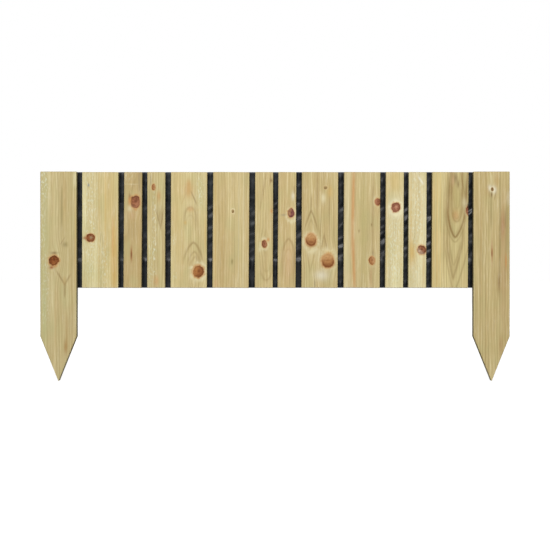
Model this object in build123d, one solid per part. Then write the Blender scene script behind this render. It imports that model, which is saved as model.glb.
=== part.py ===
from build123d import *

import os

# Garden edging fence panel, in millimetres.
# Upright planed boards, wide and narrow, stand side by side with gaps between them.
# They are nailed from behind to a pair of level rails, with a black soil membrane
# trapped between boards and rails. The board at each end is a longer post, sawn to a
# point, that is pushed into the ground.
#
# Frame: +X runs along the panel, +Y to the back, +Z up. The origin lies on the outer
# edge of the left post, at mid-thickness, level with the feet of the slats, which is
# the ground line.

# Timber sections
WIDE_BOARD = 70.0
NARROW_BOARD = 35.0
BOARD_THICKNESS = 16.0
ARRIS_RADIUS = 2.0

# Heights above and below the ground line
SLAT_HEIGHT = 222.0
POST_HEIGHT = 223.0
STAKE_DEPTH = 178.0
POINT_LENGTH = 85.0
POINT_TIP = 2.0

# Layout along the panel: the module repeats between the two posts
MODULE = (WIDE_BOARD, NARROW_BOARD, NARROW_BOARD, WIDE_BOARD)
MODULE_COUNT = 3
BOARD_GAP = 10.0

# Lean of each slat as it was nailed, in degrees, top to the right as seen from the front
SLAT_LEANS = (0.1, 0.4, 0.1, 0.2, 0.4, 0.2, 0.4, 0.3, 0.3, 0.4, 0.3, 0.3)
# Sideways shift of each slat from even gaps, as it was nailed
SLAT_SHIFTS = (0.0, 0.0, -0.2, 0.0, 0.5, 1.4, 0.4, 0.8, 1.6, 1.6, 0.5, 0.6)

# Rails, and the membrane that they clamp against the backs of the boards
RAIL_HEIGHT = 35.0
RAIL_THICKNESS = 16.0
RAIL_FROM_SLAT_END = 15.0
MEMBRANE_THICKNESS = 1.0
BACKING_SETBACK = 10.0

# Places that follow from the sizes above
SLAT_WIDTHS = MODULE * MODULE_COUNT
BOARD_WIDTHS = (WIDE_BOARD, *SLAT_WIDTHS, WIDE_BOARD)
PANEL_WIDTH = sum(BOARD_WIDTHS) + BOARD_GAP * (len(BOARD_WIDTHS) - 1)
BACKING_WIDTH = PANEL_WIDTH - 2 * BACKING_SETBACK
BOARD_BACK = BOARD_THICKNESS / 2
MEMBRANE_BACK = BOARD_BACK + MEMBRANE_THICKNESS
LOWER_RAIL_MIDDLE = RAIL_FROM_SLAT_END + RAIL_HEIGHT / 2
UPPER_RAIL_MIDDLE = SLAT_HEIGHT - LOWER_RAIL_MIDDLE


def planed_bar(width, thickness, length):
    """A planed bar along +Z from z = 0, its four long edges eased to the arris radius."""
    section = RectangleRounded(width, thickness, ARRIS_RADIUS)
    return extrude(section, length)


def slat(width, lean):
    """One upright board, its foot on the ground line, turned about its own middle."""
    bar = Pos(0, 0, -SLAT_HEIGHT / 2) * planed_bar(width, BOARD_THICKNESS, SLAT_HEIGHT)
    return Pos(0, 0, SLAT_HEIGHT / 2) * Rot(0, lean, 0) * bar


def post():
    """An end board that runs on below the slats as a stake, with a point of two saw cuts."""
    bar = planed_bar(WIDE_BOARD, BOARD_THICKNESS, STAKE_DEPTH + POST_HEIGHT)
    half_width = WIDE_BOARD / 2
    half_tip = POINT_TIP / 2
    shoulder = POINT_LENGTH - STAKE_DEPTH
    outline = Polyline(
        (-half_width, POST_HEIGHT),
        (-half_width, shoulder),
        (-half_tip, -STAKE_DEPTH),
        (half_tip, -STAKE_DEPTH),
        (half_width, shoulder),
        (half_width, POST_HEIGHT),
        close=True,
    )
    pointed = extrude(Plane.XZ * make_face(outline), BOARD_THICKNESS / 2, both=True)
    return (Pos(0, 0, -STAKE_DEPTH) * bar) & pointed


def rail(middle_height):
    """A level batten across the backs of the boards, behind the membrane."""
    bar = planed_bar(RAIL_HEIGHT, RAIL_THICKNESS, BACKING_WIDTH)
    level = Rot(0, 90, 0) * bar
    return Pos(BACKING_SETBACK, MEMBRANE_BACK + RAIL_THICKNESS / 2, middle_height) * level


def membrane():
    """A black sheet stretched over the backs of the boards, as high as the slats."""
    middle = (PANEL_WIDTH / 2, BOARD_BACK + MEMBRANE_THICKNESS / 2, SLAT_HEIGHT / 2)
    return Pos(*middle) * Box(BACKING_WIDTH, MEMBRANE_THICKNESS, SLAT_HEIGHT)


def panel():
    """Every piece of the panel, by the name of its node."""
    pieces = {"left_post": Pos(WIDE_BOARD / 2, 0, 0) * post()}
    left_edge = WIDE_BOARD + BOARD_GAP
    for index, width in enumerate(SLAT_WIDTHS):
        kind = "wide" if width == WIDE_BOARD else "narrow"
        lean = SLAT_LEANS[index % len(SLAT_LEANS)]
        middle = left_edge + width / 2 + SLAT_SHIFTS[index % len(SLAT_SHIFTS)]
        pieces[f"slat_{index + 1:02d}_{kind}"] = Pos(middle, 0, 0) * slat(width, lean)
        left_edge += width + BOARD_GAP
    pieces["right_post"] = Pos(PANEL_WIDTH - WIDE_BOARD / 2, 0, 0) * post()
    pieces["soil_membrane"] = membrane()
    pieces["lower_rail"] = rail(LOWER_RAIL_MIDDLE)
    pieces["upper_rail"] = rail(UPPER_RAIL_MIDDLE)
    return pieces


os.makedirs("parts", exist_ok=True)
for name, piece in panel().items():
    export_step(piece, f"parts/{name}.step")
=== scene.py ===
import math
from collections import namedtuple

import bmesh
import bpy
from mathutils import Matrix, Vector, noise


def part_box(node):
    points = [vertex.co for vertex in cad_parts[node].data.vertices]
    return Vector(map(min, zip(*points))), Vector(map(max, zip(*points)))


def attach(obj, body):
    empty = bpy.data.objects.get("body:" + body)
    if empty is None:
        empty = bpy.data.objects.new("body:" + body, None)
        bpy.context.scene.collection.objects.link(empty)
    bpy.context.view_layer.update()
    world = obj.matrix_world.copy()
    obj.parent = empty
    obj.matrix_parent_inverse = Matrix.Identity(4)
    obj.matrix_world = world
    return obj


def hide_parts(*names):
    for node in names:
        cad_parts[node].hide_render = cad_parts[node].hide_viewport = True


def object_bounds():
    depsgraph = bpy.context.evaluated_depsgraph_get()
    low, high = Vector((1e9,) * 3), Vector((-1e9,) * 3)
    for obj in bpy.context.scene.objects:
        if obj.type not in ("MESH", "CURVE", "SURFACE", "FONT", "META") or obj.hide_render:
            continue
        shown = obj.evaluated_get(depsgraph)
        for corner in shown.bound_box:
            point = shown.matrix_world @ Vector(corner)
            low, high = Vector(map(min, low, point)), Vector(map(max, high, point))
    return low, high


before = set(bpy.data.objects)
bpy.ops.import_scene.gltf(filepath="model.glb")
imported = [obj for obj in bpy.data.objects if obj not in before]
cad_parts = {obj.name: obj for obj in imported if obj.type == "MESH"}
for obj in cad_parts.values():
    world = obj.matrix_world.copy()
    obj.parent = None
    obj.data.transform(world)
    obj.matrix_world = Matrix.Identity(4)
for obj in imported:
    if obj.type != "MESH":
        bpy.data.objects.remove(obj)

cad_low, cad_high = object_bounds()

# Garden edging fence panel: the looks of the boards, the rails, the membrane and the nails.
# Lengths in the lists of knots and marks are millimetres on one piece: across from its middle, and
# height above the feet of the slats, or on a rail along it from its middle. Colours are 8-bit sRGB.
MM = 0.001
BODY = "root"

# The view: a level camera straight in front of the middle of the panel
PICTURE_PIXELS = 550.0
PANEL_PIXELS = 469.8
VIEW_HEIGHT = 24.7 * MM
CAMERA_DISTANCE = 2.2
SENSOR = 36.0

# Soft light: a high softbox in front, another behind, and a low even fill all round
SOFTBOX_SIZE = (1.8, 1.4)
SOFTBOX_DISTANCE = 5.0
SOFTBOX_ELEVATION = 35.0
FRONT_SOFTBOX_AZIMUTH = 0.0
BACK_SOFTBOX_AZIMUTH = 180.0
FRONT_SOFTBOX_POWER = 265.0
BACK_SOFTBOX_POWER = 240.0
FILL_STRENGTH = 0.1
FLOOR_BOUNCE = 0.15
FLOOR_GLOW_NEAR = 0.88
FLOOR_GLOW_FAR = 1.0
FLOOR_GLOW_RANGE = (0.6, 2.4)
FLOOR_SHADE = 0.18
FLOOR_SIZE = 60.0
FLOOR_CLEARANCE = 0.5 * MM

# Board meshes, in millimetres and degrees
MESH_STEP = 3.0
ARRIS_RADIUS = 2.0
ARRIS_STEPS = 5
END_EASE = 0.7
POINT_LENGTH = 85.0
POINT_TIP = 0.8
KNOT_SWELL = 0.3
SHARP_BOARD_EDGE = 40.0
SLAT_HEIGHT = 222.0
SLAT_LEANS = (0.1, 0.4, 0.1, 0.2, 0.4, 0.2, 0.4, 0.3, 0.3, 0.4, 0.3, 0.3)

# Timber colours
PALE = (230, 221, 180)
WHITE = (236, 233, 214)
FLECK = (226, 230, 204)
TAN = (186, 158, 104)
GOLD = (208, 172, 100)
ORANGE = (198, 144, 88)
BROWN = (140, 110, 66)
UMBER = (112, 82, 50)
OLIVE = (150, 134, 86)
GREEN = (185, 184, 132)
KHAKI = (180, 168, 112)
PINK = (203, 164, 122)
ROSE = (178, 142, 100)
RED = (156, 92, 52)
STRAW = (178, 158, 104)
SAND = (176, 158, 102)
PEACH = (198, 160, 104)
HONEY = (176, 142, 86)
AMBER = (168, 126, 70)
CARAMEL = (172, 136, 86)
CLAY = (166, 128, 88)
COPPER = (158, 104, 58)
RUSSET = (132, 76, 40)
CHESTNUT = (120, 66, 30)
NUTMEG = (128, 76, 38)
COCOA = (126, 74, 36)
GINGER = (140, 92, 50)
GREY = (138, 132, 112)
SLATE = (112, 120, 124)
# Near-black: bark at an edge knot, with painted shade of the notch beside it
BARK_AND_NOTCH_SHADE = (44, 36, 30)
LINE = (156, 130, 80)
END_GRAIN = (150, 130, 84)
# Painted shade, laid on the long sides of the pieces
SIDE_SHADE_COLOUR = (104, 94, 62)

# Painted shade on the long sides, on the sawn points and, as a share, on the posts' outer sides
SIDE_SHADE = 0.75
POINT_SHADE = 0.2
OUTER_SHARE = 0.2
OUTER_SIDE = {"left_post": -1.0, "right_post": 1.0}

# Knot colours: the body, its dark rim and rings, and its light side
RED_KNOT = ((150, 86, 42), (90, 44, 16), (182, 116, 64))
BRICK_KNOT = ((158, 100, 56), (112, 64, 30), (192, 132, 76))
DARK_KNOT = ((152, 96, 68), (98, 54, 32), (182, 130, 98))
ROSY_KNOT = ((166, 110, 84), (112, 60, 40), (198, 148, 118))
PINK_KNOT = ((160, 102, 70), (106, 62, 38), (182, 126, 92))
PALE_KNOT = ((162, 106, 72), (96, 50, 26), (226, 196, 164))
ORANGE_KNOT = ((178, 126, 76), (122, 70, 34), (206, 162, 108))
PURPLE_KNOT = ((148, 94, 80), (96, 50, 50), (190, 146, 96))
GREY_KNOT = ((152, 92, 52), (104, 54, 24), (158, 146, 112))
SOFT_KNOT = ((176, 124, 76), (134, 84, 46), (204, 160, 112))
OLIVE_KNOT = ((154, 132, 86), (122, 100, 62), (180, 156, 106))

# Timber finish
WOOD_ROUGHNESS = 0.62
FIBRE_ROUGHNESS = 0.2
KNOT_GLOSS = 0.1
WOOD_SPECULAR = 0.12
WOOD_BUMP = 0.35
WOOD_RELIEF = 0.3 * MM
SAWN_SHARE = 0.6
BOARD_SEED_STEP = 11.0
RAIL_SEED = 200.0
RAIL_SEED_STEP = 13.0

# How the grain parts round a knot, as shares of the knot's width and length
BEND_WIDTH = 0.8
BEND_LENGTH = 1.25
BEND_SHARE = 0.75
RING_LIFT = 0.05

# A knot's parts, from its middle as shares of its radius
KNOT_LUMPS = 0.6
KNOT_RAGS = 0.3
COLLAR_PLACE = 1.35
COLLAR_TIGHTNESS = 2.1
STAIN_TIGHTNESS = 4.5
EDGE_PLACE = 0.84
EDGE_TIGHTNESS = 5.0
RING_WAVES = 12.5

# Noise in the timber: waves per millimetre across and along the grain, and a shift of its own
Waves = namedtuple("Waves", "across along shift")
WANDER = Waves(0.03, 0.008, 0.0)
BANDS = Waves(0.07, 0.005, 3.1)
STREAKS = Waves(0.4, 0.012, 7.7)
FIBRES = Waves(1.8, 0.05, 1.9)
CLOUDS = Waves(0.035, 0.02, 5.3)
TUFTS = Waves(0.45, 0.17, 4.4)
RAGGED = Waves(0.3, 0.3, 9.2)
LUMPS = Waves(0.13, 0.13, 2.6)

# Grain: where the pith lies, how it tilts and sways along the piece, and the width of its rings.
# Knot: halo and drop are its pale collar's strength and how far that hangs down, shade is the way
# that its dark side faces in degrees, heart is which of its colours lies in its middle, and rim is
# the strength of its dark edge. Mark: a streak or line. Patch: a patch with tapering ends.
# Flecks: a field of pale flecks. Bow: an arched line. Scars are painted over the knots.
Grain = namedtuple(
    "Grain", "pith depth tilt ring contrast sway wave start", defaults=(30, 0.01, 4.0, 0.35, 0, 200, 0)
)
Knot = namedtuple(
    "Knot",
    "across height width length colours halo drop shade heart rim",
    defaults=(0.5, 0.0, -90, 1, 0.5),
)
Mark = namedtuple("Mark", "across height half_width half_length colour strength slope", defaults=(0.0,))
Patch = namedtuple("Patch", "across height half_width half_length colour strength")
Flecks = namedtuple("Flecks", "across height half_width half_length strength slope", defaults=(0.0,))
Bow = namedtuple(
    "Bow",
    "across height half_gap depth reach strength lean power half_width",
    defaults=(0.0, 2.0, 1.7),
)
Board = namedtuple("Board", "face grain knots marks bows flecks scars fuzz", defaults=((), (), (), 0.2))

# Looks of each upright board, from left to right
BOARDS = {}
BOARDS["left_post"] = Board(
    face=(202, 187, 138),
    grain=Grain(pith=-120, tilt=0.02, ring=5.0, contrast=0.42),
    knots=[Knot(-8.5, 52.8, 19.5, 20.5, RED_KNOT, halo=0.1, shade=120, rim=0.7)],
    marks=[
        Mark(-27, 50, 8, 190, GREEN, 0.5), Mark(18, 110, 13, 130, STRAW, 0.34),
        Patch(-8.5, 52, 16, 16, TAN, 0.45), Mark(6.4, 152, 2.0, 40, OLIVE, 0.55),
        Mark(12, 172, 3.5, 44, TAN, 0.4), Mark(31, 208, 3, 14, PALE, 0.5),
        Mark(32.5, 90, 1.5, 90, GOLD, 0.4), Patch(13, 83, 5, 5, OLIVE, 0.8),
        Mark(8, 90, 1.2, 7, BROWN, 0.4, slope=0.6), Mark(4.9, 18.5, 2.1, 14, BROWN, 0.55, slope=-0.6),
        Mark(17.2, 15.4, 2.1, 11, BROWN, 0.5, slope=0.53), Mark(12.3, -6, 2.0, 12, BROWN, 0.5),
        Mark(11.5, 14, 3, 8, TAN, 0.5), Mark(16, -85, 2.4, 35, HONEY, 0.5),
        Patch(13.7, -113, 3.6, 13, AMBER, 0.65), Mark(-27, -45, 4, 50, GREEN, 0.5),
        Mark(-6, -60, 1.6, 60, TAN, 0.4),
    ],
    flecks=[Flecks(-28, 200, 9, 26, 0.8), Flecks(-31, 110, 6, 70, 0.4), Flecks(-24, 0, 8, 70, 0.35)],
    scars=[Patch(-8, 67, 7, 2.6, UMBER, 0.6), Patch(-13.2, 39, 4.5, 2.8, RED, 0.9)],
    fuzz=0.15,
)
BOARDS["slat_01_wide"] = Board(
    face=(217, 205, 153),
    grain=Grain(pith=140, ring=4.6, contrast=0.3),
    knots=[Knot(-18.3, 95.6, 16, 16.5, GREY_KNOT, halo=0.1, shade=180, heart=2, rim=0.8)],
    marks=[
        Patch(-22.5, 196.8, 1.8, 3, SLATE, 0.9), Mark(27.7, 60, 5.5, 70, GOLD, 0.75),
        Mark(19, 172, 14, 62, GOLD, 0.32), Mark(21, 55, 10, 64, GOLD, 0.32),
        Mark(24, 100, 1.6, 36, ORANGE, 0.45), Mark(-2, 110, 1.6, 130, GOLD, 0.35),
        Mark(10, 120, 1.4, 100, GOLD, 0.4), Mark(1, 96, 1.2, 10, OLIVE, 0.35, slope=0.1),
        Mark(5, 94, 1.2, 12, OLIVE, 0.3, slope=-0.1),
    ],
    flecks=[Flecks(-19, 130, 12, 120, 0.6), Flecks(8, 40, 10, 50, 0.4)],
    scars=[Patch(-28.5, 95.5, 5, 3.2, RED, 0.8)],
    fuzz=0.3,
)
BOARDS["slat_02_narrow"] = Board(
    face=(194, 172, 121),
    grain=Grain(pith=10, depth=70, tilt=0.03, ring=3.6),
    knots=[Knot(4.7, 165.3, 19, 25, PINK_KNOT, halo=0.05, shade=130)],
    marks=[
        Mark(-2, 198.6, 13, 1.4, PALE, 0.25), Mark(12, 203, 2.2, 20, GREY, 0.5),
        Patch(-1, 140, 6, 9, PINK, 0.4), Patch(-2.4, 64.6, 1.9, 13, RED, 0.95),
        Patch(-2.4, 63, 1.4, 6, UMBER, 0.7), Mark(13, 95, 4, 140, TAN, 0.5),
        Mark(-12, 60, 1.5, 60, TAN, 0.4),
    ],
    flecks=[Flecks(-10, 215, 9, 10, 0.4)],
    scars=[
        Patch(-6, 168, 3.2, 10, ORANGE, 0.85), Patch(-6.2, 176, 1.6, 5, UMBER, 0.5),
        Patch(-6.5, 152, 4.5, 6, PALE, 0.5),
    ],
)
BOARDS["slat_03_narrow"] = Board(
    face=(203, 188, 136),
    grain=Grain(pith=90, depth=40, tilt=0.02, ring=4.2, contrast=0.42),
    knots=[Knot(-5.2, 192.7, 7.4, 12, SOFT_KNOT, halo=0.1, shade=180)],
    marks=[
        Mark(-10.4, 206, 1.0, 11, GREY, 0.6), Patch(5, 176, 4, 10, ORANGE, 0.55),
        Mark(4, 133, 1.4, 19, BROWN, 0.5, slope=-0.26),
        Mark(11.5, 133, 1.4, 19, BROWN, 0.5, slope=0.16), Patch(7.8, 138, 5.5, 16, BROWN, 0.4),
        Patch(0.5, 14, 5, 10, ORANGE, 0.55), Mark(14, 70, 2, 60, TAN, 0.45),
    ],
    flecks=[Flecks(-3.5, 95, 3.5, 80, 0.75), Flecks(-12, 60, 4, 60, 0.35)],
)
BOARDS["slat_04_wide"] = Board(
    face=(214, 198, 145),
    grain=Grain(pith=-130, tilt=0.012, ring=4.6, contrast=0.3),
    knots=[Knot(18.7, 31.4, 21.5, 23, BRICK_KNOT, halo=0.65, shade=-20, rim=0.4)],
    marks=[
        Patch(-1, 187, 9, 15, PEACH, 0.8), Patch(-0.5, 199, 4, 9, PEACH, 0.7),
        Mark(9.2, 172.7, 1.5, 12, BROWN, 0.6, slope=-0.43),
        Mark(-9.5, 172, 1.4, 12, TAN, 0.4, slope=0.4), Patch(2.7, 151, 6, 5, ORANGE, 0.5),
        Patch(-7, 125, 2.5, 4, GOLD, 0.6), Mark(31.3, 100, 1.3, 35, GOLD, 0.65),
        Mark(-22, 110, 8, 120, GOLD, 0.22), Mark(22, 186, 6.5, 34, GREEN, 0.35),
        Patch(6, 42, 5, 7, TAN, 0.6), Mark(-12, 60, 1.4, 50, TAN, 0.4),
    ],
    bows=[
        Bow(2.7, 154.6, 11, 24, 34, 0.38, half_width=2.1),
        Bow(3.0, 139, 9, 22, 26, 0.18, half_width=2.1),
        Bow(9.0, 86.6, 18, 40, 34, 0.5, lean=0.03, power=1.55, half_width=2.2),
        Bow(11.0, 69, 12, 30, 20, 0.38, lean=0.08, power=1.6, half_width=2.0),
        Bow(12.5, 59.5, 9, 24, 14, 0.34, lean=0.1, power=1.5, half_width=2.0),
    ],
    flecks=[Flecks(22, 186, 7, 36, 0.5), Flecks(-28, 92, 4, 10, 0.6), Flecks(-27, 25, 4, 9, 0.6)],
)
BOARDS["slat_05_wide"] = Board(
    face=(208, 189, 137),
    grain=Grain(pith=-160, depth=20, tilt=0.005, ring=4.8, contrast=0.38),
    knots=[Knot(3.5, 147, 5, 6.5, OLIVE_KNOT)],
    marks=[
        Patch(2.8, 50.2, 2, 5, OLIVE, 0.9), Mark(-22, 111, 8, 140, TAN, 0.25),
        Mark(-15.5, 62, 3.2, 75, TAN, 0.5), Mark(-30, 120, 2, 120, GOLD, 0.4),
        Patch(-28, 8, 4, 9, PINK, 0.5), Mark(24, 111, 1.0, 140, PALE, 0.45),
        Mark(15, 111, 1.0, 140, PALE, 0.4),
    ],
)
BOARDS["slat_06_narrow"] = Board(
    face=(207, 188, 135),
    grain=Grain(pith=60, depth=40, tilt=-0.02),
    knots=[Knot(0.8, 84, 10.5, 15.5, PINK_KNOT, shade=180, rim=0.4)],
    marks=[
        Patch(13.6, 206, 2.2, 4, BROWN, 0.9), Patch(14.4, 147, 2, 4, ORANGE, 0.9),
        Mark(0.2, 193, 1.1, 26, BROWN, 0.45, slope=0.13),
        Mark(-4, 180, 1.1, 30, BROWN, 0.3, slope=0.12),
        Mark(11.5, 207, 1.0, 11, BROWN, 0.45, slope=0.06), Patch(-8, 74, 3, 6, PALE, 0.5),
    ],
    bows=[
        Bow(4.8, 15, 9.5, -20, 26, 0.32, half_width=2.1),
        Bow(4.8, 32, 8, -20, 24, 0.16, half_width=2.1),
    ],
    scars=[Patch(7.9, 92, 2.6, 3.6, ORANGE, 1.0)],
)
BOARDS["slat_07_narrow"] = Board(
    face=(203, 182, 129),
    grain=Grain(pith=-70, tilt=0.02),
    knots=[Knot(7.9, 143.7, 12.5, 18, PURPLE_KNOT, halo=0.6, drop=5, shade=-20)],
    marks=[
        Patch(11, 176, 3, 8, WHITE, 0.5), Mark(13.5, 188, 1.2, 8, BROWN, 0.5),
        Patch(-7, 139.6, 5, 2, GREY, 0.5), Patch(3.5, 48, 8, 42, PINK, 0.5),
        Mark(13.5, 35, 1.4, 38, BROWN, 0.4),
    ],
    bows=[
        Bow(3.3, 93.7, 11.5, 32, 60, 0.45, power=1.6, half_width=2.1),
        Bow(3.3, 74, 8.5, 30, 50, 0.25), Bow(3.6, 54, 6, 26, 40, 0.2),
    ],
)
BOARDS["slat_08_wide"] = Board(
    face=(201, 182, 130),
    grain=Grain(pith=-110, tilt=0.02, ring=4.4),
    knots=[
        Knot(-16.8, 91.8, 21, 24.5, ORANGE_KNOT, drop=5, heart=0, rim=0.15),
        Knot(15.7, 52, 24, 26.5, ORANGE_KNOT, halo=0.45, drop=-3, shade=-80, heart=0, rim=0.15),
        Knot(10.6, 192.3, 6, 6, OLIVE_KNOT, halo=0.2, rim=0.1),
    ],
    marks=[
        Mark(-16.6, 163, 1.1, 16, BROWN, 0.6), Mark(-22, 53.5, 1.3, 23, BROWN, 0.35, slope=-0.155),
        Mark(-13, 53.5, 1.3, 23, BROWN, 0.35, slope=0.22), Mark(6, 90, 1.2, 13, BROWN, 0.55, slope=0.2),
        Mark(11, 88, 1.2, 14, BROWN, 0.55, slope=-0.2), Mark(-5.3, 190, 0.9, 34, BROWN, 0.5),
        Mark(-1.9, 190, 0.9, 34, BROWN, 0.45), Mark(1.7, 105, 1.0, 42, BROWN, 0.5),
        Mark(18.6, 150, 1.0, 55, BROWN, 0.5), Mark(27, 140, 1.0, 70, BROWN, 0.3),
        Patch(19, 184, 5, 11, GOLD, 0.6), Patch(6.5, 172, 4.5, 9, PALE, 0.65),
        Patch(4, 24, 13, 10, WHITE, 0.5), Mark(-9, 7, 1.3, 8, GREY, 0.45),
        Patch(16, 70, 9, 4, GOLD, 0.6),
    ],
    bows=[
        Bow(-16.6, 147.3, 14, 42, 36, 0.6, power=1.15), Bow(-16.6, 130, 11, 36, 24, 0.25, power=1.3),
    ],
    scars=[
        Patch(-16.8, 88, 4.5, 2.2, CHESTNUT, 0.65), Patch(-15.5, 80.5, 7, 2.5, NUTMEG, 0.5),
        Patch(16.5, 43.5, 9, 3.5, COCOA, 0.55), Patch(15, 53, 8, 1.6, GINGER, 0.45),
    ],
)
BOARDS["slat_09_wide"] = Board(
    face=(203, 184, 133),
    grain=Grain(pith=-150, depth=25, tilt=0.005, ring=4.8, contrast=0.25),
    knots=[
        Knot(29.9, 165, 11.5, 14, PINK_KNOT, halo=0.1, shade=0, rim=0.2),
        Knot(19.2, 52.5, 11.5, 16, SOFT_KNOT, halo=0.1, shade=200, rim=0.3),
    ],
    marks=[
        Mark(-17.3, 167, 3.2, 58, ORANGE, 0.8, slope=0.017),
        Mark(-15.9, 55, 3.2, 58, ORANGE, 0.8, slope=-0.043), Mark(-28, 111, 6, 140, PALE, 0.4),
        Mark(3.3, 111, 8.5, 140, KHAKI, 0.5), Mark(19.5, 140, 1.0, 65, BROWN, 0.4),
        Mark(22.3, 150, 1.0, 60, BROWN, 0.35), Patch(17.5, 24, 3, 20, ROSE, 0.6),
        Patch(21, 65, 2, 8, BROWN, 0.6), Patch(-5.7, 109, 1.4, 3, BROWN, 0.7),
        Patch(18.4, 121, 1.4, 3, BROWN, 0.7), Patch(24, 166, 3, 7, PALE, 0.5),
    ],
)
BOARDS["slat_10_narrow"] = Board(
    face=(224, 214, 165),
    grain=Grain(pith=-100, contrast=0.25),
    knots=[Knot(2.3, 154.6, 17, 18.5, ROSY_KNOT, halo=1.1, drop=2, shade=60, heart=2, rim=0.65)],
    marks=[
        Mark(-1, 206, 14, 22, GOLD, 0.42), Patch(2.3, 153.5, 13, 14, WHITE, 0.75),
        Mark(-15, 110, 2, 120, GOLD, 0.4), Mark(13, 60, 1.5, 60, GOLD, 0.35),
    ],
    flecks=[Flecks(0, 70, 14, 70, 0.65)],
    fuzz=0.3,
)
BOARDS["slat_11_narrow"] = Board(
    face=(222, 210, 162),
    grain=Grain(pith=110, contrast=0.25),
    knots=[Knot(8, 73, 16.5, 17.5, PALE_KNOT, halo=0.2, shade=50)],
    marks=[
        Patch(-9, 68, 6, 20, GOLD, 0.75), Mark(-13, 130, 2.5, 90, GOLD, 0.4),
        Mark(5.9, 205.8, 2.2, 8, WHITE, 0.7, slope=-0.6), Mark(8, 140, 1.4, 40, GOLD, 0.35),
        Mark(12, 30, 2, 30, GOLD, 0.4),
    ],
    flecks=[Flecks(0, 150, 13, 75, 0.65), Flecks(0, 25, 12, 28, 0.45)],
    fuzz=0.3,
)
BOARDS["slat_12_wide"] = Board(
    face=(217, 201, 145),
    grain=Grain(pith=-120, ring=4.6),
    knots=[Knot(35, 149, 10, 18, DARK_KNOT, halo=0.2, shade=90)],
    marks=[
        Patch(26.5, 163, 5, 10, PALE, 0.5), Mark(-25, 110, 1.4, 140, GOLD, 0.45),
        Mark(-19, 110, 1.2, 140, GOLD, 0.45), Mark(-31, 110, 1.4, 140, GOLD, 0.4),
        Mark(-12.6, 120, 1.0, 120, BROWN, 0.35), Mark(13, 90, 19, 140, KHAKI, 0.2),
        Mark(11.5, 172, 7.5, 44, SAND, 0.7), Patch(11, 139, 6, 10, ORANGE, 0.5),
        Patch(9.5, 211, 4.5, 12, UMBER, 0.6), Mark(-4, 195, 1.2, 40, OLIVE, 0.5),
        Mark(2.5, 195, 1.0, 30, BROWN, 0.4), Mark(23.5, 200, 1.0, 26, BROWN, 0.4, slope=-0.2),
        Patch(15, 199, 1.8, 8, UMBER, 0.6), Patch(5, 206, 2.5, 10, PINK, 0.5),
    ],
    # Bark at the edge knot, and painted shade where the edge dips in beside it
    scars=[Patch(35, 157.5, 2.6, 5.5, BARK_AND_NOTCH_SHADE, 1.0)],
    bows=[
        Bow(12.5, 131, 9.5, -31, 110, 0.25, half_width=4.5),
        Bow(9.7, 102, 15.5, -46, 130, 0.3, lean=0.05, power=1.45, half_width=5.0),
        Bow(6.0, 28, 13.5, -70, 90, 0.25, lean=0.046, power=1.2, half_width=5.0),
        Bow(12.5, 127.2, 10.7, -32, 120, 0.7), Bow(12.5, 133, 8.6, -30, 105, 0.55),
        Bow(12.5, 152, 6, -28, 80, 0.35),
        Bow(9.7, 97.3, 16.5, -48, 140, 0.95, lean=0.05, power=1.45, half_width=2.1),
        Bow(9.5, 88, 19.5, -52, 120, 0.4, lean=0.03, power=1.6),
        Bow(6.0, 19.7, 15.5, -72, 90, 0.65, lean=0.046, power=1.15, half_width=2.1),
        Bow(7.0, 44, 13, -60, 66, 0.4, lean=0.07, power=1.3),
        Bow(8.0, -8, 24, -100, 120, 0.45, lean=0.05, power=1.2),
    ],
    fuzz=0.1,
)
BOARDS["right_post"] = Board(
    face=(199, 181, 129),
    grain=Grain(pith=130, ring=5.0, contrast=0.48),
    knots=[Knot(1.1, 189, 5.5, 6.5, OLIVE_KNOT, halo=0.6, shade=0)],
    marks=[
        Patch(-3.5, 191, 4.5, 6, WHITE, 0.65), Patch(5, 188, 4.5, 7, WHITE, 0.7),
        Mark(-4.4, 180, 1.1, 7, BROWN, 0.5), Mark(7.0, 176.4, 1.1, 8, BROWN, 0.5, slope=0.22),
        Mark(0, 208, 2.2, 10, PALE, 0.3), Patch(10, 206, 5, 16, TAN, 0.7),
        Patch(-8, 188, 4, 9, TAN, 0.6), Mark(-1, 145, 3.5, 32, OLIVE, 0.5),
        Patch(0.7, 69, 1.2, 24, COPPER, 0.95), Patch(0.7, 66, 1.6, 6, RUSSET, 0.8),
        Patch(21.5, 120, 4, 24, CLAY, 0.95), Mark(22, 60, 7, 120, ROSE, 0.45),
        Mark(26.2, 133, 1.2, 18, UMBER, 0.45), Mark(16, 110, 1.6, 110, OLIVE, 0.65),
        Mark(30, 100, 2.5, 70, OLIVE, 0.6), Patch(13.8, 10, 2.6, 20, BROWN, 0.7),
        Patch(27.5, 51, 1.6, 13, ORANGE, 0.9), Mark(-20, 90, 1.6, 120, TAN, 0.4),
        Mark(-28, 60, 1.4, 140, TAN, 0.35), Mark(32, 172, 3, 14, WHITE, 0.2),
        Patch(18, -109, 3.5, 18, CARAMEL, 0.6), Mark(-10, -50, 1.6, 60, TAN, 0.4),
    ],
    scars=[Patch(1, 189.5, 2.0, 3, UMBER, 0.9), Patch(0, 178.5, 1.8, 5, UMBER, 0.7)],
)

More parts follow.
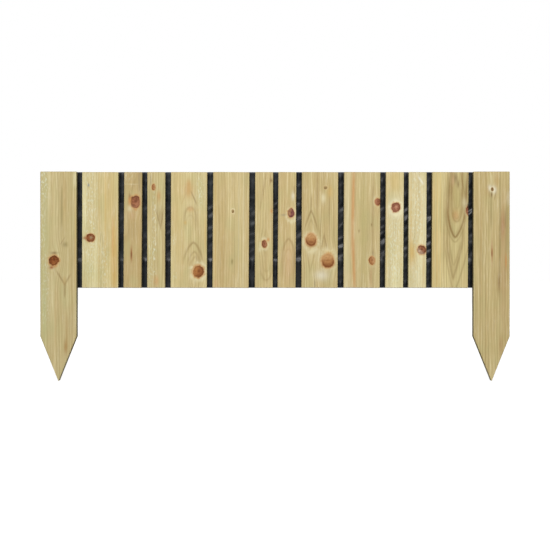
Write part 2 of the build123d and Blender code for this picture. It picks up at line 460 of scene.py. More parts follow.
# Looks of the rails at the back
RAILS = {}
RAILS["lower_rail"] = Board(
    face=(192, 174, 124),
    grain=Grain(pith=8, depth=-45, tilt=0.012, sway=3.0, wave=420, start=0.6, ring=3.8, contrast=0.4),
    knots=[
        Knot(5, -250, 13, 17, RED_KNOT), Knot(-8, 90, 9, 12, ORANGE_KNOT),
        Knot(3, 330, 16, 20, DARK_KNOT),
    ],
    marks=[Mark(-9, 0, 3, 300, TAN, 0.3), Mark(10, -100, 2, 200, GOLD, 0.3)],
)
RAILS["upper_rail"] = Board(
    face=(200, 183, 132),
    grain=Grain(pith=-60, depth=-40, sway=2.0, wave=500, start=2.0, ring=4.4),
    knots=[
        Knot(-4, -130, 15, 18, PINK_KNOT), Knot(9, 210, 11, 15, RED_KNOT),
    ],
    marks=[Mark(6, 60, 3, 350, GREEN, 0.3), Mark(-11, 100, 2, 250, GOLD, 0.3)],
)


def linear(colour):
    """An 8-bit sRGB colour as the linear values that shaders take."""
    parts = [value / 255 for value in colour]
    values = [p / 12.92 if p <= 0.04045 else ((p + 0.055) / 1.055) ** 2.4 for p in parts]
    return (*values, 1.0)


class Graph:
    """Adds nodes to one tree and links them, so that a material reads as a formula."""

    def __init__(self, tree):
        self.tree = tree

    def feed(self, socket, value):
        if isinstance(value, bpy.types.NodeSocket):
            self.tree.links.new(value, socket)
        else:
            socket.default_value = value

    def add(self, kind, inputs=(), **settings):
        node = self.tree.nodes.new("ShaderNode" + kind)
        for name, value in settings.items():
            setattr(node, name, value)
        for name, value in dict(inputs).items():
            self.feed(node.inputs[name], value)
        return node

    def math(self, operation, *values):
        node = self.add("Math", operation=operation)
        for socket, value in zip(node.inputs, values):
            self.feed(socket, value)
        return node.outputs[0]

    def plus(self, first, second):
        return self.math("ADD", first, second)

    def minus(self, first, second):
        return self.math("SUBTRACT", first, second)

    def times(self, first, second):
        return self.math("MULTIPLY", first, second)

    def line(self, value, slope, start):
        return self.math("MULTIPLY_ADD", value, slope, start)

    def square(self, value):
        return self.times(value, value)

    def squares(self, first, second):
        return self.plus(self.square(first), self.square(second))

    def fade(self, value):
        """One at zero, and falling to nothing as the value grows."""
        return self.math("EXPONENT", self.times(value, -1.0))

    def hump(self, value, place, tightness):
        """One at a place, and falling to nothing on both sides of it."""
        return self.fade(self.square(self.times(self.minus(value, place), tightness)))

    def step(self, value, low, high, bottom=0.0, top=1.0):
        """A smooth step from bottom at low to top at high."""
        ends = {"Value": value, "From Min": low, "From Max": high, "To Min": bottom, "To Max": top}
        return self.add("MapRange", ends, interpolation_type="SMOOTHSTEP").outputs[0]

    def point(self, x, y, z):
        return self.add("CombineXYZ", {"X": x, "Y": y, "Z": z}).outputs[0]

    def noise(self, place, detail=2.0, roughness=0.5):
        settings = {"Vector": place, "Scale": 1.0, "Detail": detail, "Roughness": roughness}
        return self.add("TexNoise", settings).outputs[0]

    def stretched(self, place, waves, seed, detail=2.0):
        """Noise drawn out along the grain."""
        across, through, along = place
        start = seed + waves.shift
        moved = self.point(
            self.line(across, waves.across, start),
            self.line(through, waves.across, start),
            self.times(along, waves.along),
        )
        return self.noise(moved, detail)

    def mix(self, amount, first, second, blend="MIX"):
        node = self.add("Mix", data_type="RGBA", blend_type=blend)
        for index, value in ((0, amount), (6, first), (7, second)):
            self.feed(node.inputs[index], value)
        return node.outputs[2]


def new_material(name):
    """A material, the graph of its nodes and its shader."""
    material = bpy.data.materials.new(name)
    material.use_nodes = True
    tree = material.node_tree
    return material, Graph(tree), tree.nodes["Principled BSDF"]


def new_object(name, data):
    """An object with this data, in the scene."""
    thing = bpy.data.objects.new(name, data)
    bpy.context.scene.collection.objects.link(thing)
    return thing


def finished_mesh(mesh, name, sharp_edge=None):
    """Mesh data from an edited mesh, smooth but for edges that turn by more than the angle."""
    data = bpy.data.meshes.new(name)
    mesh.to_mesh(data)
    mesh.free()
    data.shade_smooth()
    if sharp_edge:
        data.set_sharp_from_angle(angle=math.radians(sharp_edge))
    return data


def place_in_millimetres(graph):
    """Across, through and along the piece, from its own origin."""
    parts = graph.add("SeparateXYZ", {"Vector": graph.add("TexCoord").outputs["Object"]})
    return [graph.times(part, 1 / MM) for part in parts.outputs]


def bend_round_knot(graph, knot, across, along, lift):
    """Grain that parts to pass a knot, and growth rings that it lifts."""
    off_across = graph.minus(across, knot.across)
    off_along = graph.minus(along, knot.height)
    side = graph.times(off_across, 1 / (BEND_WIDTH * knot.width))
    near = graph.fade(graph.squares(side, graph.times(off_along, 1 / (BEND_LENGTH * knot.length))))
    bent = graph.minus(across, graph.times(graph.times(off_across, near), BEND_SHARE))
    return bent, graph.line(near, RING_LIFT * knot.width, lift)


def growth_rings(graph, grain, place, lift, seed):
    """Latewood, from 0 to 1, of rings about a pith that leans and sways along the piece."""
    across, through, along = place
    swing = graph.math("SINE", graph.line(along, 2 * math.pi / grain.wave, grain.start))
    depth = graph.line(swing, grain.sway, graph.line(along, grain.tilt, grain.depth))
    wander = graph.stretched(place, WANDER, seed)
    side = graph.minus(across, grain.pith)
    radius = graph.math("SQRT", graph.squares(side, graph.minus(through, depth)))
    waved = graph.line(graph.minus(wander, 0.5), 9.0, radius)
    count = graph.minus(graph.times(waved, 1 / grain.ring), lift)
    uneven = graph.noise(graph.point(graph.times(count, 0.8), seed, 0.0), 1.0)
    count = graph.line(uneven, 1.2, count)
    part = graph.math("FRACT", count)
    number = graph.plus(graph.math("FLOOR", count), seed)
    weight = graph.add("TexWhiteNoise", {"W": number}, noise_dimensions="1D").outputs["Value"]
    late = graph.times(graph.step(part, 0.25, 0.88), graph.step(part, 0.93, 1.0, 1.0, 0.0))
    return graph.times(late, graph.line(weight, 0.65, 0.35))


def mark_amount(graph, mark, across, along):
    """How strongly a streak or slanting line shows at a point."""
    off_along = graph.minus(along, mark.height)
    off_across = graph.minus(across, mark.across)
    if mark.slope:
        off_across = graph.minus(off_across, graph.times(off_along, mark.slope))
    ends = graph.square(graph.square(graph.times(off_along, 1 / mark.half_length)))
    sides = graph.square(graph.times(off_across, 1 / mark.half_width))
    return graph.times(graph.fade(graph.plus(sides, ends)), mark.strength)


def patch_amount(graph, patch, across, along):
    """How strongly a patch or dash with tapering ends shows at a point."""
    off_along = graph.times(graph.minus(along, patch.height), 1 / patch.half_length)
    off_across = graph.times(graph.minus(across, patch.across), 1 / patch.half_width)
    return graph.times(graph.fade(graph.squares(off_along, off_across)), patch.strength)


def bow_amount(graph, bow, across, along):
    """How strongly an arched line shows: it points up, or down if its depth is negative."""
    upward = graph.minus(along, bow.height)
    inward = graph.times(upward, math.copysign(1.0, -bow.depth))
    side = graph.minus(across, graph.line(upward, bow.lean, bow.across))
    wide = graph.math("ABSOLUTE", graph.times(side, 1 / bow.half_gap))
    deep = graph.math("MAXIMUM", graph.line(inward, -1 / abs(bow.depth), 1.0), 0.0)
    total = graph.plus(graph.math("POWER", wide, bow.power), graph.math("POWER", deep, bow.power))
    round_off = graph.math("POWER", total, 1 / bow.power)
    steep = graph.times(graph.math("POWER", wide, bow.power - 1), 1 / bow.half_gap)
    level = graph.times(graph.math("POWER", deep, bow.power - 1), 1 / abs(bow.depth))
    change = graph.math("SQRT", graph.plus(graph.square(steep), graph.plus(graph.square(level), 1e-5)))
    distance = graph.math("DIVIDE", graph.minus(round_off, 1.0), change)
    sides = graph.square(graph.times(distance, 1 / bow.half_width))
    tail = graph.square(graph.square(graph.times(inward, 1 / bow.reach)))
    return graph.times(graph.fade(graph.plus(sides, tail)), bow.strength)


def paint_streaks(graph, marks, colour, across, along):
    """Streaks, lines and patches, one over the other."""
    for mark in marks:
        amount = patch_amount if isinstance(mark, Patch) else mark_amount
        colour = graph.mix(amount(graph, mark, across, along), colour, linear(mark.colour))
    return colour


def paint_marks(graph, board, colour, place, tufts, patchy):
    """Every arched line, streak, patch and field of flecks of one board."""
    across, _, along = place
    for bow in board.bows:
        shown = graph.times(bow_amount(graph, bow, across, along), patchy)
        colour = graph.mix(shown, colour, linear(BROWN))
    colour = paint_streaks(graph, board.marks, colour, across, along)
    for field in board.flecks:
        shown = graph.times(mark_amount(graph, field, across, along), tufts)
        colour = graph.mix(shown, colour, linear(FLECK))
    return colour


def paint_knot(graph, knot, place, colour, ragged, lumps):
    """A knot's pale halo, its stained edge, and its body with rings, dark rim and heart."""
    across, _, along = place
    body, dark, light = (linear(shade) for shade in knot.colours)
    off_across = graph.times(graph.minus(across, knot.across), 2 / knot.width)
    off_along = graph.times(graph.minus(along, knot.height), 2 / knot.length)
    round_off = graph.math("SQRT", graph.squares(off_across, off_along))
    rough = min(1.0, 0.3 + 1.4 * knot.rim)
    uneven = graph.line(graph.minus(lumps, 0.5), KNOT_LUMPS * rough, round_off)
    reach = graph.line(graph.minus(ragged, 0.5), KNOT_RAGS * rough, uneven)
    lower = graph.plus(off_along, 2 * knot.drop / knot.length)
    halo_off = graph.math("SQRT", graph.squares(off_across, lower))
    collar = graph.hump(halo_off, COLLAR_PLACE, COLLAR_TIGHTNESS)
    patchy = graph.times(graph.step(lumps, 0.35, 0.6, 0.35, 1.0), knot.halo)
    colour = graph.mix(graph.times(collar, patchy), colour, linear(PALE))
    stain = graph.hump(reach, 1.0, STAIN_TIGHTNESS)
    colour = graph.mix(graph.times(stain, 0.7), colour, linear(ORANGE))

    turn = math.radians(knot.shade)
    toward = graph.plus(graph.times(off_across, math.cos(turn)), graph.times(off_along, math.sin(turn)))
    lit = 0.15 if knot.heart == 2 else 0.85
    inner = graph.mix(graph.step(toward, 0.2, -0.6, 0.0, lit), body, light)
    rings = graph.line(graph.math("COSINE", graph.times(reach, RING_WAVES)), 0.5, 0.5)
    clear = graph.step(ragged, 0.35, 0.6, 0.05, 0.2 + 0.8 * knot.rim)
    inner = graph.mix(graph.times(rings, clear), inner, dark)
    heart = graph.squares(graph.minus(off_across, 0.08), graph.minus(off_along, 0.1))
    middle = (body, dark, light)[knot.heart]
    inner = graph.mix(graph.times(graph.fade(graph.times(heart, 11.0)), 0.8), inner, middle)
    blotch = graph.times(graph.step(ragged, 0.52, 0.66), graph.step(lumps, 0.62, 0.46))
    inner = graph.mix(graph.times(blotch, knot.rim), inner, dark)
    edge = graph.hump(reach, EDGE_PLACE, EDGE_TIGHTNESS)
    shaded = graph.step(toward, -0.6, 0.6, knot.rim, 0.95)
    inner = graph.mix(graph.times(edge, shaded), inner, dark)
    inside = graph.step(reach, 1.08, 0.89)
    return graph.mix(inside, colour, inner), inside


def paint_sides(graph, colour, late, outer):
    """Long sides darkened with painted shade, and sawn ends that show the rings."""
    facing = graph.add("SeparateXYZ", {"Vector": graph.add("TexCoord").outputs["Normal"]}).outputs
    level = graph.math("ABSOLUTE", facing["Z"])
    side = graph.step(graph.math("ABSOLUTE", facing["X"]), 0.5, 0.95)
    # Painted shade: full on the long sides, weaker on the sawn points and on the posts' outer sides
    side_shade_amount = graph.step(level, 0.1, 0.35, SIDE_SHADE, POINT_SHADE)
    if outer:
        outward = graph.times(facing["X"], outer)
        side_shade_amount = graph.times(side_shade_amount, graph.step(outward, -0.5, 0.5, 1.0, OUTER_SHARE))
    colour = graph.mix(graph.times(side, side_shade_amount), colour, linear(SIDE_SHADE_COLOUR))
    sawn = graph.step(level, 0.3, 0.8)
    sawn_colour = graph.mix(late, linear(END_GRAIN), linear(BROWN))
    return graph.mix(graph.times(sawn, SAWN_SHARE), colour, sawn_colour)


def timber_material(name, board, seed, outer=0.0):
    """Planed softwood with this board's own rings, knots, streaks and patches."""
    material, graph, shader = new_material(name)
    flat = place_in_millimetres(graph)
    across, through, along = flat
    bent = across
    lift = 0.0
    for knot in board.knots:
        bent, lift = bend_round_knot(graph, knot, bent, along, lift)
    place = (bent, through, along)
    late = growth_rings(graph, board.grain, place, lift, seed)

    bands = graph.stretched(place, BANDS, seed)
    streaks = graph.stretched(place, STREAKS, seed, 3.0)
    fibres = graph.stretched(place, FIBRES, seed)
    clouds = graph.stretched(place, CLOUDS, seed)
    tufts = graph.step(graph.stretched(place, TUFTS, seed, 3.0), 0.48, 0.68)
    colour = graph.mix(graph.step(bands, 0.35, 0.65, 0.0, 0.3), linear(board.face), linear(TAN))
    colour = graph.mix(graph.step(clouds, 0.45, 0.7, 0.0, 0.3), colour, linear(GREEN))
    colour = graph.mix(graph.step(streaks, 0.55, 0.75, 0.0, 0.35), colour, linear(PALE))
    colour = graph.mix(graph.times(late, board.grain.contrast), colour, linear(LINE))
    patchy = graph.step(clouds, 0.3, 0.6, 0.65, 1.0)
    colour = paint_marks(graph, board, colour, flat, tufts, patchy)
    hairs = graph.times(graph.step(fibres, 0.5, 0.7), graph.step(clouds, 0.6, 0.4))
    colour = graph.mix(graph.times(hairs, board.fuzz), colour, linear(WHITE))
    tone = graph.line(graph.minus(fibres, 0.5), 0.22, 1.0)
    tone = graph.line(graph.minus(streaks, 0.5), 0.34, tone)
    colour = graph.mix(1.0, colour, tone, "MULTIPLY")

    ragged = graph.stretched(flat, RAGGED, seed, 3.0)
    lumps = graph.stretched(flat, LUMPS, seed, 1.0)
    knotty = 0.0
    for knot in board.knots:
        colour, inside = paint_knot(graph, knot, flat, colour, ragged, lumps)
        knotty = graph.plus(inside, knotty)
    colour = paint_streaks(graph, board.scars, colour, across, along)
    colour = paint_sides(graph, colour, late, outer)

    height = graph.line(late, 0.35, graph.line(fibres, 0.6, graph.times(knotty, 0.3)))
    bump = graph.add("Bump", {"Strength": WOOD_BUMP, "Distance": WOOD_RELIEF, "Height": height})
    dull = graph.line(knotty, -KNOT_GLOSS, WOOD_ROUGHNESS)
    graph.feed(shader.inputs["Base Color"], colour)
    graph.feed(shader.inputs["Roughness"], graph.line(fibres, FIBRE_ROUGHNESS, dull))
    graph.feed(shader.inputs["Normal"], bump.outputs[0])
    shader.inputs["Specular IOR Level"].default_value = WOOD_SPECULAR
    return material


def section(width, thickness):
    """Points round a bar's section, its corners eased, and about one mesh step apart."""
    half_width = width / 2 - ARRIS_RADIUS
    half_thickness = thickness / 2 - ARRIS_RADIUS
    corners = ((1, -1, -90), (1, 1, 0), (-1, 1, 90), (-1, -1, 180))
    points = []
    for side, back, turn in corners:
        for step in range(ARRIS_STEPS + 1):
            angle = math.radians(turn + 90 * step / ARRIS_STEPS)
            x = side * half_width + ARRIS_RADIUS * math.cos(angle)
            y = back * half_thickness + ARRIS_RADIUS * math.sin(angle)
            points.append((x, y))
    filled = []
    for index, start in enumerate(points):
        end = points[(index + 1) % len(points)]
        pieces = max(1, round(math.dist(start, end) / MESH_STEP))
        for piece in range(pieces):
            share = piece / pieces
            x = start[0] + (end[0] - start[0]) * share
            y = start[1] + (end[1] - start[1]) * share
            filled.append((x, y))
    return filled


def levels(bottom, top, breaks):
    """Heights of the rings of a bar's mesh, with its breaks among them."""
    stops = sorted({bottom, *breaks, top})
    heights = []
    for low, high in zip(stops, stops[1:]):
        pieces = max(1, round((high - low) / MESH_STEP))
        heights += [low + (high - low) * piece / pieces for piece in range(pieces)]
    return heights + [top]


def knot_swell(knots, x, z):
    """How far a face stands proud at a knot, in millimetres."""
    swell = 0.0
    for knot in knots:
        off = math.hypot((x - knot.across) * 2 / knot.width, (z - knot.height) * 2 / knot.length)
        swell += KNOT_SWELL * math.exp(-(off ** 4))
    return swell


def bar_mesh(name, width, thickness, bottom, top, knots, pointed=False):
    """A bar along +Z with eased ends, or with a sawn point for a foot."""
    outline = section(width, thickness)
    shoulder = bottom + POINT_LENGTH
    breaks = [top - END_EASE]
    breaks.append(shoulder if pointed else bottom + END_EASE)
    mesh = bmesh.new()
    rows = []
    for z in levels(bottom, top, breaks):
        taper = 1.0
        if pointed and z < shoulder:
            taper = POINT_TIP / width + (1 - POINT_TIP / width) * (z - bottom) / POINT_LENGTH
        ease = END_EASE if z in (top, bottom) and not (pointed and z == bottom) else 0.0
        row = []
        for x, y in outline:
            px = x * taper * (1 - 2 * ease / width)
            py = y * (1 - 2 * ease / thickness)
            if abs(y) > thickness / 2 - 0.01 and not ease:
                py += math.copysign(knot_swell(knots, px, z), y)
            row.append(mesh.verts.new((px * MM, py * MM, z * MM)))
        rows.append(row)
    count = len(outline)
    for lower, upper in zip(rows, rows[1:]):
        for index in range(count):
            after = (index + 1) % count
            mesh.faces.new((lower[index], lower[after], upper[after], upper[index]))
    mesh.faces.new(rows[-1])
    mesh.faces.new(rows[0][::-1])
    return finished_mesh(mesh, name, SHARP_BOARD_EDGE)


def add_piece(name, data, material):
    """A new object with this data and its finish."""
    piece = new_object(name, data)
    data.materials.append(material)
    return piece


def build_boards():
    """Every board of the panel, in place of its plain solid."""
    for index, (node, board) in enumerate(BOARDS.items()):
        low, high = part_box(node)
        middle = (low + high) / 2
        pointed = node.endswith("post")
        thickness = (high.y - low.y) / MM
        width = (high.x - low.x) / MM
        bottom = low.z / MM
        lean = 0.0
        if not pointed:
            lean = math.radians(SLAT_LEANS[index - 1])
            width = (width - SLAT_HEIGHT * math.sin(lean)) / math.cos(lean)
            bottom = 0.0
        top = high.z / MM if pointed else SLAT_HEIGHT
        data = bar_mesh(node + "_board", width, thickness, bottom, top, board.knots, pointed)
        outer = OUTER_SIDE.get(node, 0.0)
        material = timber_material(node + "_timber", board, BOARD_SEED_STEP * index, outer)
        piece = add_piece(node + "_board", data, material)
        pivot = Vector((0, 0, SLAT_HEIGHT / 2 * MM))
        turn = Matrix.Rotation(lean, 4, "Y")
        foot = Vector((middle.x, middle.y, 0.0))
        piece.matrix_world = Matrix.Translation(foot + pivot) @ turn @ Matrix.Translation(-pivot)
        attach(piece, BODY)
        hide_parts(node)


def build_rails():
    """The two battens behind the membrane."""
    for index, (node, board) in enumerate(RAILS.items()):
        low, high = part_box(node)
        middle = (low + high) / 2
        half_length = (high.x - low.x) / 2 / MM
        height = (high.z - low.z) / MM
        thickness = (high.y - low.y) / MM
        data = bar_mesh(node + "_batten", height, thickness, -half_length, half_length, board.knots)
        seed = RAIL_SEED + RAIL_SEED_STEP * index
        material = timber_material(node + "_timber", board, seed)
        piece = add_piece(node + "_batten", data, material)
        piece.matrix_world = Matrix.Translation(middle) @ Matrix.Rotation(math.pi / 2, 4, "Y")
        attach(piece, BODY)
        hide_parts(node)


# Membrane, in millimetres: broad folds that rise to the right, with slight creases and crinkles.
# It hangs slack behind the boards, more so to the right, and may sag forward into the gaps.
FOLD_SLOPE = 0.5
FOLD_LENGTH = 12.0
FOLD_DEPTH = 2.7
CREASE_LENGTH = 9.0
CREASE_DEPTH = 0.15
CREASE_SHARPNESS = 5
CREASE_SEED = 7.3
CRINKLE_LENGTH = 7.0
CRINKLE_DEPTH = 0.05
CRINKLE_SEED = 3.1
FOLD_SPREAD = 30.0
SLACK_RANGE = (0.6, 1.1)
SLACK_BACK = 1.2
GAP_SAG = 4.0
SOFT_TURN = 0.5
CLAMPED_SHARE = 0.5
CLAMPED_SAG = 1.0
GAP_EDGE = 0.6
SHEET_RISE = 1.2
SHEET_THICKNESS = 0.4
SHEET_STEP = 2.0
CLAMP_FADE = 8.0
TAPE_PITCH = 2.6
DARK_TAPE = (11, 13, 15)
LIGHT_TAPE = (19, 22, 24)
# Pale patches on the membrane: dust, and painted sheen of its creases
DUST_AND_SHEEN = (30, 36, 40)
SHEET_ROUGHNESS = (0.32, 0.42)
SHEET_SPECULAR = 0.21
WEAVE_BUMP = 0.12
WEAVE_RELIEF = 0.25 * MM


def board_edges():
    """Left and right edges of the boards, along the panel."""
    return [(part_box(node)[0].x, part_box(node)[1].x) for node in BOARDS]


def smooth(value):
    """A smooth step from nothing at zero to one at one."""
    value = min(1.0, max(0.0, value))
    return value * value * (3 - 2 * value)


def between_boards(x, edges):
    """One in the middle of a gap between boards, and zero behind a board."""
    for (_, left), (right, _) in zip(edges, edges[1:]):
        if left < x < right:
            half_gap = (right - left) / 2
            return smooth((half_gap - abs(x - (left + right) / 2)) / (GAP_EDGE * half_gap))
    return 0.0


def clear_of_rails(z, clamps):
    """One well between the rails, and zero where they clamp the sheet and beyond them."""
    (_, lower_top), (upper_foot, _) = clamps
    reach = min(z - lower_top, upper_foot - z)
    return smooth(reach / (CLAMP_FADE * MM))


def relief(x, z):
    """How far the slack sheet stands forward at a point, in millimetres."""
    across = x / MM
    tight, loose = SLACK_RANGE
    slack = tight + (loose - tight) * smooth(x / cad_high.x)
    up = z / MM - FOLD_SLOPE * across
    fold = noise.noise(Vector((across / FOLD_SPREAD, 0.0, up / FOLD_LENGTH)))
    ridge = noise.noise(Vector((across / FOLD_SPREAD, CREASE_SEED, up / CREASE_LENGTH)))
    crease = max(0.0, 1 - CREASE_SHARPNESS * abs(ridge)) ** 2
    spot = Vector((across / CRINKLE_LENGTH, CRINKLE_SEED, z / MM / CRINKLE_LENGTH))
    crinkle = noise.noise(spot)
    return slack * (FOLD_DEPTH * fold + CREASE_DEPTH * crease + CRINKLE_DEPTH * crinkle)


def no_less_than(value, least):
    """The greater of two lengths, with a soft turn from one to the other."""
    return (value + least + math.hypot(value - least, SOFT_TURN)) / 2


def membrane_mesh(low, high):
    """A stretched sheet, held flat under the rails and folded between them and in the gaps."""
    edges = board_edges()
    clamps = [(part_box(node)[0].z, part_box(node)[1].z) for node in RAILS]
    columns = round((high.x - low.x) / (SHEET_STEP * MM))
    rows = round((high.z - low.z) / (SHEET_STEP * MM))
    middle = (low.y + high.y) / 2
    mesh = bmesh.new()
    grid = []
    for row in range(rows + 1):
        z = low.z + (high.z - low.z) * row / rows
        free = clear_of_rails(z, clamps)
        line = []
        for column in range(columns + 1):
            x = low.x + (high.x - low.x) * column / columns
            gap = between_boards(x, edges)
            forward = relief(x, z)
            loose = no_less_than(SLACK_BACK - forward, -GAP_SAG * gap)
            bulge = CLAMPED_SHARE * gap * max(0.0, forward + CLAMPED_SAG)
            y = middle + (free * loose - (1 - free) * bulge) * MM
            line.append(mesh.verts.new((x, y, z)))
        grid.append(line)
    for lower, upper in zip(grid, grid[1:]):
        for column in range(columns):
            corners = (lower[column], lower[column + 1], upper[column + 1], upper[column])
            mesh.faces.new(corners)
    return finished_mesh(mesh, "membrane_sheet")


def membrane_material():
    """Black woven ground sheet: flat tapes over and under, with a low sheen and pale patches of dust
    and painted sheen.
    """
    material, graph, shader = new_material("membrane_weave")
    across, _, along = place_in_millimetres(graph)
    pitch = 2 * math.pi / TAPE_PITCH
    warp = graph.math("SINE", graph.times(across, pitch))
    weft = graph.math("SINE", graph.times(along, pitch))
    weave = graph.times(warp, weft)
    cloud = graph.noise(graph.point(graph.times(across, 0.05), 0.0, graph.times(along, 0.05)), 3.0)
    shade = graph.mix(graph.step(weave, -0.6, 0.6), linear(DARK_TAPE), linear(LIGHT_TAPE))
    # Pale clouds of dust and painted sheen over the tapes
    colour = graph.mix(graph.step(cloud, 0.4, 0.7, 0.0, 0.4), shade, linear(DUST_AND_SHEEN))
    bump = graph.add("Bump", {"Strength": WEAVE_BUMP, "Distance": WEAVE_RELIEF, "Height": weave})
    graph.feed(shader.inputs["Base Color"], colour)
    graph.feed(shader.inputs["Roughness"], graph.step(cloud, 0.3, 0.7, *SHEET_ROUGHNESS))
    graph.feed(shader.inputs["Normal"], bump.outputs[0])
    shader.inputs["Specular IOR Level"].default_value = SHEET_SPECULAR
    return material


def build_membrane():
    """The black sheet that is trapped between the boards and the rails."""
    low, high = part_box("soil_membrane")
    high.z += SHEET_RISE * MM
    piece = add_piece("membrane_sheet", membrane_mesh(low, high), membrane_material())
    thicken = piece.modifiers.new("thickness", "SOLIDIFY")
    thicken.thickness = SHEET_THICKNESS * MM
    thicken.offset = 0.0
    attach(piece, BODY)
    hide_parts("soil_membrane")


# Nails, in millimetres: pairs of round heads at each board, driven from behind through the rails
NAIL_HEAD_PROFILE = ((3.3, -0.6), (3.3, 0.1), (3.05, 0.4), (2.5, 0.52), (1.2, 0.58))
NAIL_SIDES = 24
NAIL_SPREAD = 0.25
NAIL_STAGGER = 7.0
NAIL_WANDER = (3.0, 2.0)
NAIL_TILT = 0.08
NAIL_SEED = 5
SHARP_NAIL_EDGE = 50.0
DARK_ZINC = (122, 124, 126)
LIGHT_ZINC = (172, 174, 174)
RUST = (118, 80, 52)
NAIL_ROUGHNESS = (0.38, 0.6)
NAIL_METALLIC = 0.85


def nail_places(node):
    """Centres of the nail heads on the back of one rail."""
    low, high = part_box(node)
    middle = (low.z + high.z) / 2
    along, upward = NAIL_WANDER
    places = []
    for index, board in enumerate(BOARDS):
        left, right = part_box(board)
        centre = (left.x + right.x) / 2
        spread = NAIL_SPREAD * (right.x - left.x)
        for side in (-1, 1):
            shift = noise.noise(Vector((centre * 31, side * 2.3, low.z * 17)))
            turn = side if index % 2 else -side
            x = centre + side * spread + shift * along * MM
            z = middle + turn * NAIL_STAGGER * MM + shift * upward * MM
            places.append(Vector((x, high.y, z)))
    return places


def nails_mesh(name, places):
    """Flat round nail heads, each set just into the back of the rail."""
    mesh = bmesh.new()
    # Without a seed of its own, vector noise differs from run to run
    noise.seed_set(NAIL_SEED)
    for place in places:
        tilt = noise.noise_vector(place * 400) * NAIL_TILT
        rings = []
        for radius, rise in NAIL_HEAD_PROFILE:
            ring = []
            for side in range(NAIL_SIDES):
                angle = 2 * math.pi * side / NAIL_SIDES
                x = radius * math.cos(angle)
                z = radius * math.sin(angle)
                y = rise + tilt.x * x + tilt.z * z
                ring.append(mesh.verts.new(place + Vector((x, y, z)) * MM))
            rings.append(ring)
        for outer, inner in zip(rings, rings[1:]):
            for side in range(NAIL_SIDES):
                after = (side + 1) % NAIL_SIDES
                mesh.faces.new((outer[after], outer[side], inner[side], inner[after]))
        mesh.faces.new(rings[-1][::-1])
        mesh.faces.new(rings[0])
    return finished_mesh(mesh, name, SHARP_NAIL_EDGE)


def nail_material():
    """Dull galvanised steel with blotches and a little rust."""
    material, graph, shader = new_material("nail_zinc")
    across, through, along = place_in_millimetres(graph)
    spangle = graph.noise(graph.point(across, through, along), 3.0)
    spots = graph.noise(graph.point(graph.times(across, 0.3), through, graph.times(along, 0.3)), 3.0)
    colour = graph.mix(graph.step(spangle, 0.35, 0.65), linear(DARK_ZINC), linear(LIGHT_ZINC))
    colour = graph.mix(graph.step(spots, 0.58, 0.75, 0.0, 0.7), colour, linear(RUST))
    graph.feed(shader.inputs["Base Color"], colour)
    graph.feed(shader.inputs["Roughness"], graph.step(spangle, 0.3, 0.7, *NAIL_ROUGHNESS))
    shader.inputs["Metallic"].default_value = NAIL_METALLIC
    return material


def build_nails():
    """One piece of nail heads for each rail."""
    material = nail_material()
    for node in RAILS:
        name = node + "_nails"
        piece = add_piece(name, nails_mesh(name, nail_places(node)), material)
        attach(piece, BODY)


def aim(thing, target):
    """Turns a lamp or camera to face a point."""
    thing.rotation_euler = (target - thing.location).to_track_quat("-Z", "Y").to_euler()


def seen_directly(graph):
    """One for rays from the camera, mirrors and glass, and zero for light on its way."""
    path = graph.add("LightPath").outputs
    seen = graph.math("MAXIMUM", path["Is Camera Ray"], path["Is Glossy Ray"])
    return graph.math("MAXIMUM", seen, path["Is Transmission Ray"])


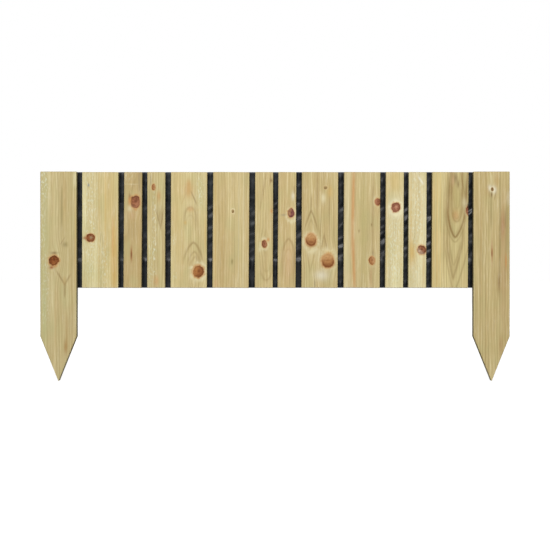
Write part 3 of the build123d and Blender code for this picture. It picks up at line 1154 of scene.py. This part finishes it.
def build_floor():
    """A white floor that shows the object's shadow."""
    half = FLOOR_SIZE / 2
    corners = ((-half, -half, 0), (half, -half, 0), (half, half, 0), (-half, half, 0))
    data = bpy.data.meshes.new("floor")
    data.from_pydata(corners, [], [(0, 1, 2, 3)])
    floor = new_object("floor", data)
    middle = (cad_low + cad_high) / 2
    floor.location = (middle.x, middle.y, cad_low.z - FLOOR_CLEARANCE)
    material, graph, _ = new_material("floor_white")
    shown = graph.add("BsdfDiffuse", {"Color": (FLOOR_SHADE, FLOOR_SHADE, FLOOR_SHADE, 1.0)})
    spot = graph.add("TexCoord").outputs["Object"]
    away = graph.add("VectorMath", {0: spot}, operation="LENGTH").outputs["Value"]
    strength = graph.step(away, *FLOOR_GLOW_RANGE, FLOOR_GLOW_NEAR, FLOOR_GLOW_FAR)
    glow = graph.add("Emission", {"Color": (1, 1, 1, 1), "Strength": strength})
    bright = graph.add("AddShader")
    graph.feed(bright.inputs[0], shown.outputs[0])
    graph.feed(bright.inputs[1], glow.outputs[0])
    bounce = graph.add("BsdfDiffuse", {"Color": (FLOOR_BOUNCE, FLOOR_BOUNCE, FLOOR_BOUNCE, 1.0)})
    both = graph.add("MixShader")
    graph.feed(both.inputs[0], seen_directly(graph))
    graph.feed(both.inputs[1], bounce.outputs[0])
    graph.feed(both.inputs[2], bright.outputs[0])
    output = material.node_tree.nodes["Material Output"]
    graph.feed(output.inputs["Surface"], both.outputs[0])
    data.materials.append(material)


def build_world():
    """An even fill, seen as plain white."""
    world = bpy.data.worlds.new("studio")
    bpy.context.scene.world = world
    world.use_nodes = True
    graph = Graph(world.node_tree)
    background = world.node_tree.nodes["Background"]
    background.inputs["Color"].default_value = (1, 1, 1, 1)
    strength = graph.line(seen_directly(graph), 1.0 - FILL_STRENGTH, FILL_STRENGTH)
    graph.feed(background.inputs["Strength"], strength)


def add_softbox(name, target, azimuth, power):
    """A wide soft lamp, high on one side of the panel."""
    lamp = bpy.data.lights.new(name, "AREA")
    lamp.shape = "RECTANGLE"
    lamp.size, lamp.size_y = SOFTBOX_SIZE
    lamp.energy = power
    softbox = new_object(name, lamp)
    turn = math.radians(azimuth)
    rise = math.radians(SOFTBOX_ELEVATION)
    away = Vector((math.sin(turn) * math.cos(rise), -math.cos(turn) * math.cos(rise), math.sin(rise)))
    softbox.location = target + away * SOFTBOX_DISTANCE
    aim(softbox, target)


def build_camera(target):
    """A level camera whose picture spans the panel as the photograph does."""
    span = (cad_high.x - cad_low.x) * PICTURE_PIXELS / PANEL_PIXELS
    lens = bpy.data.cameras.new("camera")
    lens.sensor_width = SENSOR
    lens.lens = SENSOR * CAMERA_DISTANCE / span
    camera = new_object("camera", lens)
    camera.location = (target.x, cad_low.y - CAMERA_DISTANCE, VIEW_HEIGHT)
    aim(camera, Vector((target.x, cad_low.y, VIEW_HEIGHT)))
    bpy.context.scene.camera = camera


build_boards()
build_rails()
build_membrane()
build_nails()
panel_middle = (cad_low + cad_high) / 2
build_floor()
build_world()
add_softbox("front_softbox", panel_middle, FRONT_SOFTBOX_AZIMUTH, FRONT_SOFTBOX_POWER)
add_softbox("back_softbox", panel_middle, BACK_SOFTBOX_AZIMUTH, BACK_SOFTBOX_POWER)
build_camera(panel_middle)
bpy.context.scene.view_settings.view_transform = "Standard"
